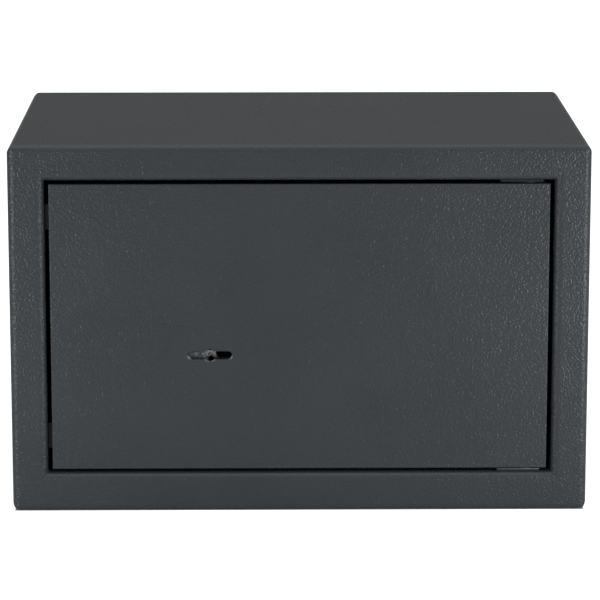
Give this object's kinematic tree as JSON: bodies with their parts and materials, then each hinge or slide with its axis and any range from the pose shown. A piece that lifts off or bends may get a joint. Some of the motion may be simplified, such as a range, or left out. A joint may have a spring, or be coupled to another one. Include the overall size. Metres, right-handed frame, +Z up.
{
  "type": "key safe",
  "caption": "Small box-shaped steel key safe with a flush hinged door, two round locking bolts, a lever lock behind a horizontal keyhole, and anchor holes in floor and back.",
  "frame": {"origin": "middle of the underside, on the surface that the safe stands on", "axes": "+X to the right seen from the front, +Y from the door to the back, +Z up; the door's face looks along -Y"},
  "size_m": [0.31, 0.2, 0.2],
  "materials": {
    "powder_coat": "anthracite orange-peel powder coat on folded sheet steel",
    "zinc_plated_steel": "zinc-plated sheet steel, satin",
    "turned_steel": "bright turned steel",
    "chromed_bolt": "bright plated round bar",
    "brass": "rolled brass, lightly brushed",
    "black_nylon": "moulded black nylon",
    "rubber": "matt black moulded rubber",
    "felt": "dark needle felt"
  },
  "bodies": {
    "root": {"front_frame": "powder_coat", "casing": "powder_coat", "back_panel": "powder_coat", "hinge_plate_lower": "zinc_plated_steel", "hinge_plate_upper": "powder_coat", "hinge_pin_lower": "turned_steel", "hinge_pin_upper": "turned_steel", "hinge_washers": "black_nylon", "door_stops": "rubber", "floor_mat": "felt"},
    "door": {"door_plate": "powder_coat", "hinge_lug_lower": "powder_coat", "hinge_lug_upper": "powder_coat", "door_housing": "powder_coat", "rear_cover": "powder_coat", "cover_screws": "turned_steel", "lock_case": "zinc_plated_steel", "lock_case_cover": "zinc_plated_steel", "lock_screws": "turned_steel", "lever_post": "turned_steel", "lever_springs": "turned_steel", "bolt_guides": "brass", "guide_studs": "turned_steel", "guide_clips": "turned_steel"},
    "bolt_carriage": {"bolt_bar": "zinc_plated_steel", "slide_plate": "brass", "gate_pin": "turned_steel", "upper_bolt": "chromed_bolt", "lower_bolt": "chromed_bolt", "bolt_screws": "turned_steel"},
    "core": {"key_core": "turned_steel", "drive_pin": "turned_steel"},
    "lever_1_body": {"lever_1": "brass"},
    "lever_2_body": {"lever_2": "brass"},
    "lever_3_body": {"lever_3": "brass"},
    "lever_4_body": {"lever_4": "brass"},
    "lever_5_body": {"lever_5": "brass"}
  },
  "joints": [
    {"name": "door_hinge", "type": "hinge", "parent": "root", "child": "door", "pos_m": [0.1223, -0.092, 0.1], "axis": [0, 0, 1], "range_deg": [0, 105]},
    {"name": "bolt_slide", "type": "slide", "parent": "door", "child": "bolt_carriage", "axis": [-1, 0, 0], "range_m": [0, 0.016]},
    {"name": "key_turn", "type": "hinge", "parent": "door", "child": "core", "pos_m": [-0.048, -0.092, 0.08575], "axis": [0, -1, 0], "range_deg": [0, 180]},
    {"name": "lever_1_pivot", "type": "hinge", "parent": "door", "child": "lever_1_body", "pos_m": [-0.021, -0.086, 0.08575], "axis": [0, -1, 0], "range_deg": [0, 4.5]},
    {"name": "lever_2_pivot", "type": "hinge", "parent": "door", "child": "lever_2_body", "pos_m": [-0.021, -0.086, 0.08575], "axis": [0, -1, 0], "range_deg": [0, 4.5]},
    {"name": "lever_3_pivot", "type": "hinge", "parent": "door", "child": "lever_3_body", "pos_m": [-0.021, -0.086, 0.08575], "axis": [0, -1, 0], "range_deg": [0, 4.5]},
    {"name": "lever_4_pivot", "type": "hinge", "parent": "door", "child": "lever_4_body", "pos_m": [-0.021, -0.086, 0.08575], "axis": [0, -1, 0], "range_deg": [0, 4.5]},
    {"name": "lever_5_pivot", "type": "hinge", "parent": "door", "child": "lever_5_body", "pos_m": [-0.021, -0.086, 0.08575], "axis": [0, -1, 0], "range_deg": [0, 4.5]}
  ],
  "couplings": [
    {"joint": "key_turn", "follows": "bolt_slide", "rad_per_m": 196.35},
    {"joint": "lever_2_pivot", "follows": "lever_1_pivot", "ratio": 0.9},
    {"joint": "lever_3_pivot", "follows": "lever_1_pivot", "ratio": 1},
    {"joint": "lever_4_pivot", "follows": "lever_1_pivot", "ratio": 0.85},
    {"joint": "lever_5_pivot", "follows": "lever_1_pivot", "ratio": 0.95}
  ]
}
